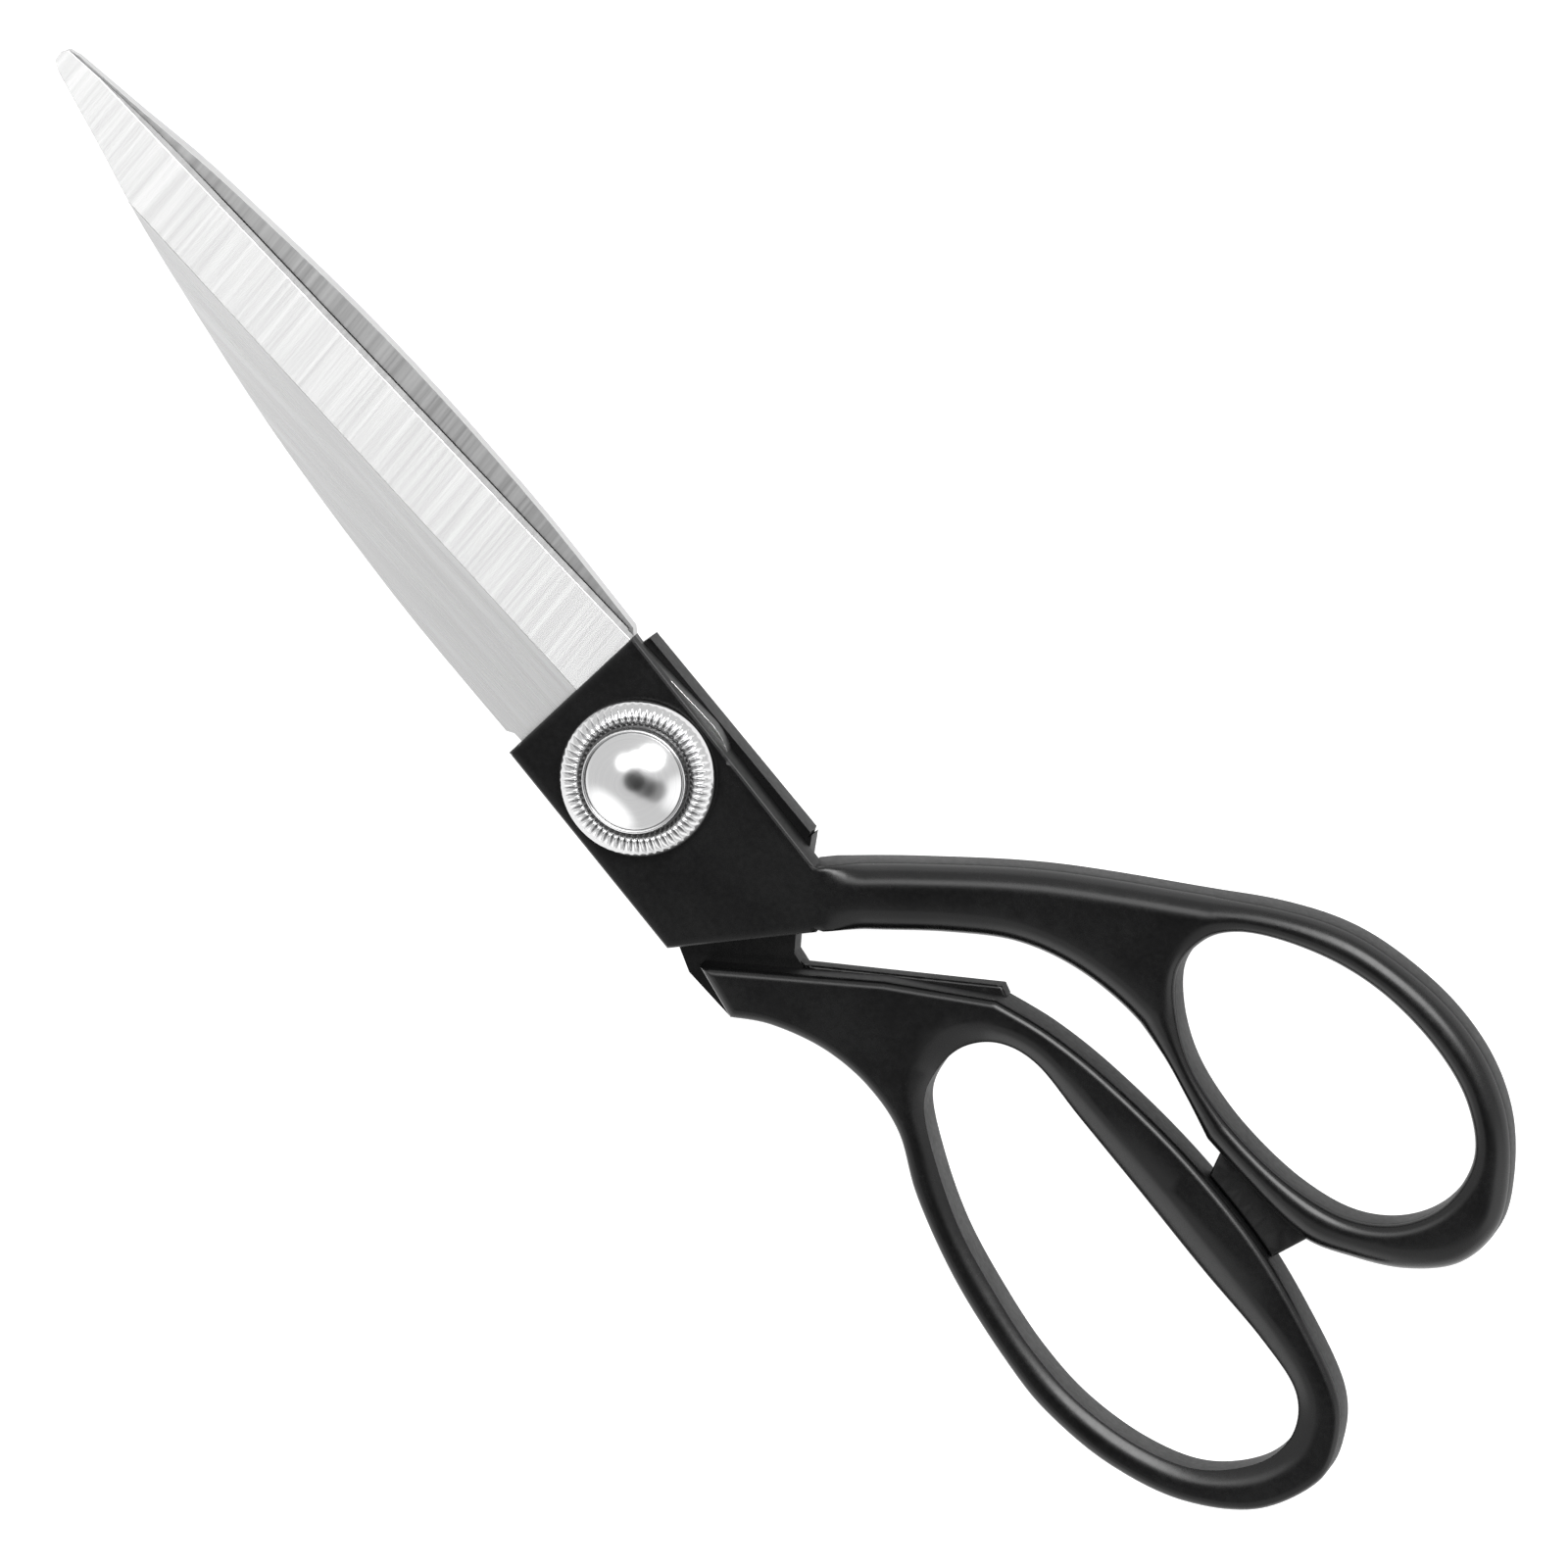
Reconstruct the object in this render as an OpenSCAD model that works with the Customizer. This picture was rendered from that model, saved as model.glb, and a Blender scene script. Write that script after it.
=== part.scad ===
// Bent-handled fabric shears: two steel blades whose tangs sit in two cast handles, turning on a
// keyed bolt. A serrated nut over a conical spring washer sets how hard the blades press together.
// Frame: origin on the pivot axis at the bolt head's flat face, +X towards the blade tips,
// +Z from the lower (finger) half to the upper (thumb) half, -Y towards the thumb ring.
// Millimetres, blades closed. The lower half is the upper one turned over about X, then turned
// back by the crossing angle.

/* [Blades] */
// Length from the pivot axis to the blade tips
tip_x = 122; // [116:1:126]
// Distance from the pivot axis to the casting's end face
shank_end_x = 14; // [13:0.5:15]
// Distance from the pivot axis to a cutting edge
edge_y = 11.7; // [11.4:0.1:12]
// Thickness at the ridge next to the casting
ridge_t = 3.4; // [3.1:0.1:3.7]
// Thickness behind the edge bevel
edge_t = 0.35; // [0.2:0.05:0.5]
// Width of the bevel that is ground along the edge
bevel_w = 1; // [0.6:0.1:1.4]
// Angle by which the closed blades cross
cross_angle = 8.7; // [8:0.1:9.5]

/* [Tang] */
// Thickness of a tang
tang_t = 3; // [2.6:0.1:3.2]
// Half width of a tang, and the radius of its round end
tang_r = 10.4; // [10:0.1:10.5]
// Diameter of the cast keys that pass through a tang
key_d = 3; // [2:0.5:4]

/* [Castings] */
// Thickness of each shank block
shank_t = 5.2; // [5:0.1:6]
// Clearance between the two halves
half_gap = 0.1; // [0.06:0.02:0.2]
// Chamfer around the outer face of a shank block
shank_chamfer = 0.7; // [0.3:0.1:0.9]
// Thickness of a handle where it leaves the shank
grip_t = 9.6; // [9:0.1:10]
// Thickness of a handle at the far end of its loop
grip_end_t = 8.2; // [7:0.1:9]
// Radius of the rounded handle edges
grip_round = 1.2; // [0.8:0.1:1.2]
// Radius of the rounded lip around each loop opening
lip_round = 0.8; // [0.5:0.1:0.8]
// Thickness of the stop pad between the loops
pad_t = 5; // [4:0.5:6]
// Clearance between the stop pad and the finger loop
stop_gap = 0.2; // [0.1:0.05:0.4]

/* [Pivot] */
// Diameter of the bolt head
head_d = 13; // [11:0.5:15]
// Height of the bolt head
head_h = 1.8; // [1.4:0.1:2.2]
// Side of the square neck under the head
neck_side = 7.4; // [6:0.1:7.6]
// Diameter of the bolt's journal
journal_d = 7; // [6:0.1:7.2]
// Diameter of the bolt's threaded end
thread_d = 6; // [5:0.1:6]
// Radial running clearance on the journal and the thread
run_gap = 0.05; // [0.02:0.01:0.1]
// Outer diameter of the pivot bush
bush_d = 9; // [8.6:0.1:10]
// Outer diameter of the washer between the tangs
ride_d = 14; // [12:0.5:15]
// Thickness of the washer between the tangs
ride_t = 1; // [0.6:0.1:1.4]

/* [Tension nut] */
// Outer diameter of the serrated nut
nut_d = 21; // [19:0.5:22]
// Number of serrations
serrations = 60; // [40:1:72]
// Diameter of the polished dome
dome_d = 14; // [12:0.5:14.5]
// Height of the dome above its rim
dome_h = 3; // [2:0.1:4]

/* [Hidden] */
$fn = 96;
curve_steps = 5;
casting = [0.13, 0.13, 0.135];
steel = [0.80, 0.81, 0.82];
bronze = [0.72, 0.55, 0.30];

// Levels above the bolt head's flat face
lower_z = head_h + shank_t;
mid_z = lower_z + half_gap / 2;
upper_z = lower_z + half_gap;
top_z = upper_z + shank_t;

// Fits around the bolt
neck_gap = 0.05;
recess_gap = 0.2;
recess_d = ride_d + 2 * recess_gap;
recess_depth = (ride_t + 0.1 - half_gap) / 2;
neck_top_z = lower_z - 1;
head_chamfer = 0.4;
running_d = journal_d + 2 * run_gap;

// Tang and its keys, as offsets from the pivot axis
tang_x = -1;
tang_y = -1.3;
key_x = 8;
key_y = 7;

// Blade form
neck_x = shank_end_x - 1.5;
neck_step = 0.25;
shoulder_x = shank_end_x + 1.2;
spine_y = 9.7;
primary_land = 0.05;
ridge_y = 1.5;
ridge_fall = atan(0.5 / 90);
spine_slope = 5;
edge_slope = atan((ridge_t - edge_t) / (edge_y - ridge_y));
bevel_slope = atan((edge_t + bevel_w * tan(edge_slope)) / bevel_w);
blade_scale = (tip_x - shank_end_x) / 108;

// Handle form
grip_root_x = -25;
grip_end_x = -130;
grip_taper = (grip_t - grip_end_t) / 2 / (grip_root_x - grip_end_x);
ledge_t = 3;

// Washers and nut
thrust_d = 15;
thrust_t = 0.8;
spring_d = 14.4;
spring_t = 0.7;
spring_rise = 0.4;
film = 0.05;
thrust_top_z = top_z + thrust_t;
nut_seat_z = thrust_top_z + spring_t + spring_rise + film;
nut_rim_z = top_z + 0.5;
skirt_r = 8;
rim_t = 0.9;
groove_depth = 0.9;
groove_w = 0.5;
crest_z = nut_seat_z + 1.1;
dome_z = crest_z + 0.3;
dome_base_z = crest_z - 0.25;

// Outlines run anticlockwise. Each is a few points with a smooth curve through them.

function wrapped(points, i) = points[(i + len(points)) % len(points)];

function clamped(points, i) = points[max(0, min(len(points) - 1, i))];

function blend(a, b, c, d, t) =
    0.5 * (2 * b + (c - a) * t + (2 * a - 5 * b + 4 * c - d) * t * t
    + (3 * b - a - 3 * c + d) * t * t * t);

// Smooth closed curve through the points
function closed_curve(points) = [
    for (i = [0 : len(points) - 1], k = [0 : curve_steps - 1])
        blend(wrapped(points, i - 1), points[i], wrapped(points, i + 1), wrapped(points, i + 2),
              k / curve_steps)
];

// Smooth open curve from the first point to the last
function open_curve(points) = [
    for (i = [0 : len(points) - 2], k = [0 : curve_steps - 1])
        blend(clamped(points, i - 1), points[i], points[i + 1], clamped(points, i + 2),
              k / curve_steps),
    points[len(points) - 1]
];

function inward(a, b) = [a[1] - b[1], b[0] - a[0]] / norm(b - a);

// The outline moved inwards by a distance, or outwards by a negative one
function inset(points, distance) = [
    for (i = [0 : len(points) - 1])
        let (before = inward(wrapped(points, i - 1), points[i]),
             after = inward(points[i], wrapped(points, i + 1)))
        points[i] + distance * (before + after) / (1 + before * after)
];

// Triangles that fill an outline by joining its first points to its last ones in turn
function zipped(count) = [
    for (i = [0 : ceil(count / 2) - 2], half = [0, 1])
        if (half == 0 || i + 1 < count - 2 - i)
            half == 0 ? [i, i + 1, count - 1 - i] : [i + 1, count - 2 - i, count - 1 - i]
];

// Solid through level rings, each given as [inset, height]. The height may lean with x.
module lofted(outline, rings) {
    count = len(outline);
    points = [
        for (ring = rings, point = inset(outline, ring[0]))
            [point[0], point[1], ring[1] + ring[2] * (point[0] - grip_root_x)]
    ];
    sides = [
        for (k = [0 : len(rings) - 2], i = [0 : count - 1])
            let (low = k * count, high = low + count, next = (i + 1) % count)
            each [[low + i, high + i, high + next], [low + i, high + next, low + next]]
    ];
    last = (len(rings) - 1) * count;
    top = [for (face = zipped(count)) [last + face[2], last + face[1], last + face[0]]];
    polyhedron(points, concat(zipped(count), sides, top));
}

// A handle's bar: rounded top and bottom edges, thinner towards the far end
module grip_bar(outline) {
    half = grip_t / 2;
    r = grip_round;
    lofted(outline, [
        [r * 0.8, mid_z - half, -grip_taper],
        [r * 0.3, mid_z - half + r * 0.35, -grip_taper],
        [0, mid_z - half + r, -grip_taper],
        [0, mid_z + half - r, grip_taper],
        [r * 0.3, mid_z + half - r * 0.35, grip_taper],
        [r * 0.8, mid_z + half, grip_taper]
    ]);
}

// The space inside a loop, flared at both faces by the lip
module grip_opening(outline) {
    half = grip_t / 2;
    r = lip_round;
    lofted(outline, [
        [-r * 1.7, mid_z - half - r * 0.5, -grip_taper],
        [-r * 0.3, mid_z - half + r * 0.5, -grip_taper],
        [0, mid_z - half + r * 1.3, -grip_taper],
        [0, mid_z + half - r * 1.3, grip_taper],
        [-r * 0.3, mid_z + half - r * 0.5, grip_taper],
        [-r * 1.7, mid_z + half + r * 0.5, grip_taper]
    ]);
}

// Blades

// Outline of the ground blade and its tang, cutting edge towards -Y
function spine_curve() = open_curve([
    [tip_x - 1.2, -7.6], [shank_end_x + 96 * blade_scale, -4.9],
    [shank_end_x + 80 * blade_scale, -0.8], [shank_end_x + 53 * blade_scale, 4.6],
    [shank_end_x + 26 * blade_scale, 8.1], [shank_end_x + 2.6, spine_y]
]);

function belly_curve() = open_curve([
    [shank_end_x + 78 * blade_scale, -edge_y], [shank_end_x + 95 * blade_scale, -edge_y + 0.35],
    [tip_x, -edge_y + 1.3]
]);

// The full width ends just short of the casting and a narrower neck runs on into it
blade_outline = concat(
    [[neck_x, -edge_y + neck_step], [shoulder_x, -edge_y + neck_step], [shoulder_x, -edge_y]],
    belly_curve(), [[tip_x + 0.6, -9.5], [tip_x + 0.3, -8.3]], spine_curve(),
    [[shoulder_x + 0.4, tang_r + tang_y], [neck_x, tang_r + tang_y]]
);

module half_space(size) {
    translate([-size / 2, -size, 0]) cube([size, 2 * size, size]);
}

// Everything above a plane that rises from the cutting edge
module above_edge_plane(height, slope) {
    translate([0, -edge_y, height]) rotate([slope, 0, 0]) half_space(400);
}

// The blade's solid, inner face at z = 0. Inside the casting it is no thicker than the tang.
module ground_blade() {
    difference() {
        linear_extrude(ridge_t + 0.2) polygon(blade_outline);
        above_edge_plane(primary_land, bevel_slope);
        above_edge_plane(edge_t, edge_slope);
        translate([shank_end_x, -ridge_y, ridge_t]) rotate([-spine_slope, ridge_fall, 0])
            half_space(400);
        translate([neck_x - 1, -2 * edge_y, tang_t])
            cube([shank_end_x - neck_x + 1, 4 * edge_y, tang_t]);
    }
}

// The tang with its round end, also used as the pocket in the casting
module tang_plate() {
    translate([tang_x, tang_y, 0]) {
        cylinder(h = tang_t, r = tang_r);
        translate([0, -tang_r, 0]) cube([shank_end_x - tang_x, 2 * tang_r, tang_t]);
    }
}

module tang_keys(height) {
    for (side = [-1, 1])
        translate([key_x, side * key_y, 0]) cylinder(h = height, d = key_d);
}

module blade_with_tang() {
    difference() {
        union() {
            ground_blade();
            tang_plate();
        }
        translate([0, 0, -1]) cylinder(h = recess_depth + 1, d = recess_d);
        translate([0, 0, -1]) tang_keys(tang_t + 2);
    }
}

module in_lower_half() {
    translate([0, 0, lower_z]) rotate([0, 0, -cross_angle]) rotate([180, 0, 0]) children();
}

module thumb_blade() {
    color(steel)
    translate([0, 0, upper_z]) difference() {
        blade_with_tang();
        translate([0, 0, -1]) cylinder(h = tang_t + 2, d = bush_d);
    }
}

module finger_blade() {
    color(steel) difference() {
        in_lower_half() blade_with_tang();
        square_hole(neck_side + 2 * neck_gap);
    }
}

module square_hole(side) {
    translate([-side / 2, -side / 2, -1]) cube([side, side, lower_z + 2]);
}

// Castings

shank_outline = [
    [shank_end_x, -12.4], [shank_end_x + 0.2, 10.8], [-19.1, 13.5], [-31.1, -2.9], [-25.2, -8.8]
];

// A shank block over its tang, inner face at z = 0
module shank_block() {
    difference() {
        lofted(shank_outline, [
            [0, 0, 0], [0, shank_t - shank_chamfer, 0], [shank_chamfer, shank_t, 0]
        ]);
        difference() {
            tang_pocket();
            tang_keys(tang_t);
        }
    }
}

// The tang's space, open at the inner face and along the side of the cutting edge
module tang_pocket() {
    side_w = 3;
    tang_plate();
    translate([0, 0, -1]) tang_plate();
    translate([tang_x, tang_y - tang_r + 1 - side_w, -1])
        cube([shank_end_x + 3, side_w, tang_t + 1]);
}

thumb_arm_inner = open_curve([
    [-31.7, -3.6], [-37, -9.1], [-43.2, -15.4], [-50, -21.1], [-57.5, -24.4], [-66, -25.8],
    [-74, -25.4], [-80.5, -23.8], [-86.5, -21.8]
]);

thumb_ring_end = open_curve([
    [-93, -21.6], [-104, -21.6], [-111.2, -24.9], [-117.3, -29.3], [-121.4, -35.1],
    [-121.4, -41.9], [-117.7, -47.8], [-111.8, -53.2], [-104.5, -56.6], [-96, -57.9],
    [-87, -57.2], [-79, -55.1], [-71.2, -50.8], [-62, -43.8], [-46, -31], [-33.5, -18.7],
    [-25.6, -10.1]
]);

thumb_outline = concat([[-29.1, -2.3]], thumb_arm_inner, thumb_ring_end, [[-24.2, -8.2]]);

thumb_opening = closed_curve([
    [-67, -40.1], [-67.7, -34.7], [-72.5, -30.1], [-79, -26.9], [-88, -25.5], [-98, -25.9],
    [-106.5, -28.3], [-112, -33.1], [-114.2, -39.6], [-112.3, -46.6], [-106.5, -51],
    [-99, -53], [-90, -53.2], [-82, -51.6], [-74.5, -48.3], [-69.3, -44.5]
]);

finger_outline = concat(
    [[-42, -4.8], [-23.7, 12.2]],
    open_curve([
        [-31.5, 14], [-36, 10.6], [-43, 7.7], [-50.5, 6.8], [-58, 8.1], [-66, 12.4],
        [-78, 16.6], [-91, 19.2], [-99, 19.8], [-109, 18.6], [-119, 14.9], [-126.8, 8.3],
        [-129.8, 0], [-128.2, -5.8], [-123, -11], [-112, -14.8], [-100, -17.4],
        [-86, -18.4], [-72, -17.9], [-62, -16.5], [-54, -14.2]
    ])
);

finger_opening = closed_curve([
    [-55.6, -6.4], [-55.4, -1.5], [-57.5, 2.9], [-64, 7.1], [-73, 11.2], [-83, 13.9], [-92, 15.5],
    [-101, 15.7], [-110.5, 13.8], [-118, 10], [-122.7, 3.5], [-122.9, -2.5], [-119, -6.9],
    [-111, -8.4], [-99, -9], [-86, -10.1], [-73, -11.2], [-64, -12.1], [-58.6, -10.4]
]);

// The flat stop between the loops, cut back from the finger loop
module stop_pad() {
    difference() {
        translate([0, 0, mid_z - pad_t / 2]) linear_extrude(pad_t)
            polygon([[-88.6, -22.8], [-89.6, -16], [-104.6, -15], [-105.4, -23]]);
        linear_extrude(2 * mid_z) polygon(inset(finger_outline, -stop_gap));
    }
}

module thumb_handle() {
    color(casting) difference() {
        union() {
            translate([0, 0, upper_z]) shank_block();
            difference() {
                grip_bar(thumb_outline);
                grip_opening(thumb_opening);
            }
            stop_pad();
        }
        translate([0, 0, upper_z - 1]) cylinder(h = shank_t + 2, d = bush_d);
    }
}

// The neck that carries the lower block on into the handle, and the ledge along the handle
module finger_neck() {
    translate([0, 0, head_h]) linear_extrude(shank_t) polygon([
        [-18, 12.6], [-23.4, 14.9], [-31.4, 15], [-36, 6.5], [-33.3, 3], [-31.2, 2.6],
        [-29.7, 0.9], [-21.4, -10.3]
    ]);
    translate([0, 0, mid_z - ledge_t]) linear_extrude(ledge_t - half_gap / 2) polygon([
        [-31, 3.2], [-38, 2], [-56, -12.5], [-54.6, -14.6], [-53.2, -15.1], [-33.1, 2.7]
    ]);
}

module finger_handle() {
    color(casting) difference() {
        union() {
            in_lower_half() shank_block();
            finger_neck();
            difference() {
                grip_bar(finger_outline);
                grip_opening(finger_opening);
            }
        }
        square_hole(neck_side + 2 * neck_gap);
    }
}

// Pivot

module pivot_bolt() {
    thread_end = 0.6;
    color(steel) {
        rotate_extrude() polygon([
            [0, 0], [head_d / 2 - head_chamfer, 0], [head_d / 2, head_chamfer],
            [head_d / 2, head_h], [0, head_h]
        ]);
        translate([-neck_side / 2, -neck_side / 2, head_h])
            cube([neck_side, neck_side, neck_top_z - head_h]);
        translate([0, 0, neck_top_z]) cylinder(h = thrust_top_z - neck_top_z, d = journal_d);
        translate([0, 0, thrust_top_z])
            cylinder(h = dome_z + thread_end - thrust_top_z, d = thread_d);
    }
}

// Flat ring from one level to another
module ring(outer_d, inner_d, from_z, to_z) {
    translate([0, 0, from_z]) difference() {
        cylinder(h = to_z - from_z, d = outer_d);
        translate([0, 0, -1]) cylinder(h = to_z - from_z + 2, d = inner_d);
    }
}

module pivot_bush() {
    color(bronze)
    ring(bush_d, running_d, upper_z + recess_depth, top_z);
}

module ride_washer() {
    color(bronze)
    ring(ride_d, running_d, mid_z - ride_t / 2, mid_z + ride_t / 2);
}

module thrust_washer() {
    color(steel)
    ring(thrust_d, running_d, top_z + film, thrust_top_z);
}

// Conical spring washer
module spring_washer() {
    inner = thread_d / 2 + 0.4;
    outer = spring_d / 2;
    color(steel) translate([0, 0, thrust_top_z + 0.02]) rotate_extrude() polygon([
        [inner, spring_rise], [outer, 0], [outer, spring_t], [inner, spring_rise + spring_t]
    ]);
}

// Serrated nut: a skirt over the washers, a sloped ring and a seat for the dome
module tension_nut() {
    r = nut_d / 2;
    seat_r = dome_d / 2 + 0.3;
    bore_r = thread_d / 2 + run_gap;
    groove_z = crest_z - groove_depth;
    notch_r = 0.3;
    color(steel) difference() {
        rotate_extrude() polygon([
            [bore_r, nut_seat_z], [skirt_r, nut_seat_z], [skirt_r + 0.4, nut_rim_z],
            [r - 0.2, nut_rim_z], [r, nut_rim_z + 0.2], [r, nut_rim_z + rim_t],
            [r - 0.5, crest_z - 0.5], [r - 1.4, crest_z], [r - 2.1, crest_z - 0.05],
            [seat_r + 0.2, groove_z], [seat_r, groove_z], [seat_r - 0.3, dome_base_z - 0.05],
            [bore_r, dome_base_z - 0.05]
        ]);
        for (i = [0 : serrations - 1])
            rotate([0, 0, 360 / serrations * i])
                translate([seat_r + groove_w, 0, crest_z + notch_r / 6])
                    rotate([0, 90, 0]) cylinder(h = r, r = notch_r, $fn = 4);
    }
}

// Polished dome over the bolt's end: a spherical cap with a thin rim
module dome_cap() {
    r = dome_d / 2;
    radius = (r * r + dome_h * dome_h) / 2 / dome_h;
    hollow_z = dome_z + 1.2;
    color(steel) difference() {
        union() {
            translate([0, 0, dome_base_z]) cylinder(h = dome_z - dome_base_z, r = r);
            intersection() {
                translate([0, 0, dome_z + dome_h - radius]) sphere(r = radius);
                translate([0, 0, dome_z - 0.01]) cylinder(h = dome_h + 1, r = r);
            }
        }
        translate([0, 0, dome_base_z - 1])
            cylinder(h = hollow_z - dome_base_z + 1, d = thread_d + 1);
    }
}

thumb_blade();
finger_blade();
thumb_handle();
finger_handle();
pivot_bolt();
pivot_bush();
ride_washer();
thrust_washer();
spring_washer();
tension_nut();
dome_cap();
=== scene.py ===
"""Visual model of the fabric shears, and its studio.

The castings, the nut and the dome are made here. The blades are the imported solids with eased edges
and ground faces. Outlines are in millimetres in the part's own frame, as in the CAD source, and
become metres when a mesh is made. The pivot axis is the Z axis through the origin.
"""

import math

import bmesh
import bpy
import numpy as np
from mathutils import Matrix, Vector
from mathutils.geometry import delaunay_2d_cdt


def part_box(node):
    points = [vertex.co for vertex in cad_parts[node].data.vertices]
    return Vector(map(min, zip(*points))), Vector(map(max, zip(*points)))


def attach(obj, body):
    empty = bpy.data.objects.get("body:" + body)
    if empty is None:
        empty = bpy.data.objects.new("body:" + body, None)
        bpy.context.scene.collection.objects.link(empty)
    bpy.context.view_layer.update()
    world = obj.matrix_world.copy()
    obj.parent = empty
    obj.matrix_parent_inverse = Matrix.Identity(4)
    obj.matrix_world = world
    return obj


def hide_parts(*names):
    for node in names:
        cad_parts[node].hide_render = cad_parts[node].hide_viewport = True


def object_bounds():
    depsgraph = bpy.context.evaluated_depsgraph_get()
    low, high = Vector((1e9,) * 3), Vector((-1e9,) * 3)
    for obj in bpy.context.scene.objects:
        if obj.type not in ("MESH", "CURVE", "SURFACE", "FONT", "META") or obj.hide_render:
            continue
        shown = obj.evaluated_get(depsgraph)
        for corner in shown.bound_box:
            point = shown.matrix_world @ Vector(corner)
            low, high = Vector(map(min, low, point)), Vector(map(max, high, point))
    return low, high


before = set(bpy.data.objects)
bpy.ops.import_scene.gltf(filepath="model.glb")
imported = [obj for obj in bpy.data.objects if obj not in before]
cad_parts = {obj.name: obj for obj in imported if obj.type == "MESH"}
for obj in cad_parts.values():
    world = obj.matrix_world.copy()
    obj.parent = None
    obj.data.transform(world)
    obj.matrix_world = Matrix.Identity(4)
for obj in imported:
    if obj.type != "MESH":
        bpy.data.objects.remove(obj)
cad_low, cad_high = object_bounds()

MM = 0.001

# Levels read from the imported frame: the castings' contact faces and the upper block's top
lower_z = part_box("finger_blade")[1].z / MM
upper_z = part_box("thumb_blade")[0].z / MM
mid_z = (lower_z + upper_z) / 2
top_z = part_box("pivot_bush")[1].z / MM
shank_t = top_z - upper_z

# Sizes of the castings, as in the CAD source
CROSS_ANGLE = math.radians(8.7)
GRIP_T = 9.6
GRIP_END_T = 8.2
GRIP_ROOT_X = -25
GRIP_END_X = -130
TANG_T = 3
TANG_R = 10.4
TANG_X = -1
TANG_Y = -1.3
POCKET_END_X = 17
POCKET_SIDE_Y = -14
KEY_R = 1.45
KEY_X = 8
KEY_Y = 7
KEY_GAP = 0.04
BUSH_D = 9
NECK_SIDE = 7.5

SHANK = [(14, -12.4), (14.2, 10.8), (-19.1, 13.5), (-31.1, -2.9), (-25.2, -8.8)]

THUMB_ARM = [
    (-31.7, -3.6), (-37, -9.1), (-43.2, -15.4), (-50, -21.1), (-57.5, -24.4), (-66, -25.8),
    (-74, -25.4), (-80.5, -23.8), (-86.5, -21.8),
]
THUMB_RING = [
    (-93, -21.6), (-104, -21.6), (-111.2, -24.9), (-117.3, -29.3), (-121.4, -35.1),
    (-121.4, -41.9), (-117.7, -47.8), (-111.8, -53.2), (-104.5, -56.6), (-96, -57.9),
    (-87, -57.2), (-79, -55.1), (-71.2, -50.8), (-62, -43.8), (-46, -31), (-33.5, -18.7),
    (-25.6, -10.1),
]
THUMB_OPENING = [
    (-67, -40.1), (-67.7, -34.7), (-72.5, -30.1), (-79, -26.9), (-88, -25.5), (-98, -25.9),
    (-106.5, -28.3), (-112, -33.1), (-114.2, -39.6), (-112.3, -46.6), (-106.5, -51),
    (-99, -53), (-90, -53.2), (-82, -51.6), (-74.5, -48.3), (-69.3, -44.5),
]
FINGER_LOOP = [
    (-31.5, 14), (-36, 10.6), (-43, 7.7), (-50.5, 6.8), (-58, 8.1), (-66, 12.4),
    (-78, 16.6), (-91, 19.2), (-99, 19.8), (-109, 18.6), (-119, 14.9), (-126.8, 8.3),
    (-129.8, 0), (-128.2, -5.8), (-123, -11), (-112, -14.8), (-100, -17.4),
    (-86, -18.4), (-72, -17.9), (-62, -16.5), (-54, -14.2),
]
FINGER_OPENING = [
    (-55.6, -6.4), (-55.4, -1.5), (-57.5, 2.9), (-64, 7.1), (-73, 11.2), (-83, 13.9),
    (-92, 15.5), (-101, 15.7), (-110.5, 13.8), (-118, 10), (-122.7, 3.5), (-122.9, -2.5),
    (-119, -6.9), (-111, -8.4), (-99, -9), (-86, -10.1), (-73, -11.2), (-64, -12.1),
    (-58.6, -10.4),
]
NECK = [
    (-18, 12.6), (-23.4, 14.9), (-31.4, 15), (-36, 6.5), (-33.3, 3), (-31.2, 2.6),
    (-29.7, 0.9), (-21.4, -10.3),
]
LEDGE = [(-31, 3.2), (-38, 2), (-56, -12.5), (-54.6, -14.6), (-53.2, -15.1), (-33.1, 2.7)]
# The stop pad's two corners on the thumb ring. Its other side follows the finger loop.
PAD = [(-88.6, -22.8), (-105.4, -23)]
PAD_T = 5
PAD_X = (-104.6, -89.6)
PAD_MAX_Y = -12
STOP_GAP = 0.2
LEDGE_DEPTH = 3

# Edges of the handles' faces: (rounding's width, largest share of the bar's width, depth, power)
THUMB_TOP_OUTER = (3.3, 0.62, 3.4, 2)
THUMB_TOP_INNER = (2.0, 0.38, 1.7, 2)
THUMB_UNDER_OUTER = (1.8, 0.4, 1.6, 2)
THUMB_UNDER_INNER = (1.6, 0.35, 1.4, 2)
FINGER_TOP_OUTER = (1.2, 0.3, 1.2, 2)
FINGER_TOP_INNER = (3.4, 0.4, 2.0, 1.2)
FINGER_UNDER_OUTER = (1.6, 0.35, 1.6, 2)
FINGER_UNDER_INNER = (1.8, 0.35, 1.5, 2)
FINGER_FINE = (1.3, 3.4)
THUMB_BLOCK_EDGE = 0.55
FINGER_BLOCK_EDGE = 0.6
LEDGE_EDGE = 0.5
PAD_EDGE = 0.4
# Where the thumb arm's top comes up to the block's, along X
ARM_RISE = (-50, -22)
# Where the arm's wide rounding becomes the block's tight edge, as x + y
ARM_BLEND = (-43, -34)

# Meshing of the castings
FAR = 1e3
CHUNK = 2000
GRID_STEP = 2.4
ROW_STEP = GRID_STEP * 0.866
GRID_CLEARANCE = GRID_STEP * 0.4
MERGE_STEP = 0.12
POCKET_CLEARANCE = 0.15
# A row's point is kept at this share of the row's distance from its own edge, and from others
OWN_EDGE = 0.93
OTHER_HOLE = 0.75
OTHER_OUTER = 0.9
# Rows around the holes stay out of an outer rounding that is narrower than this
NARROW = 2
JUST_INSIDE = 0.999


# ---- Outlines --------------------------------------------------------------------------------

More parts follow.
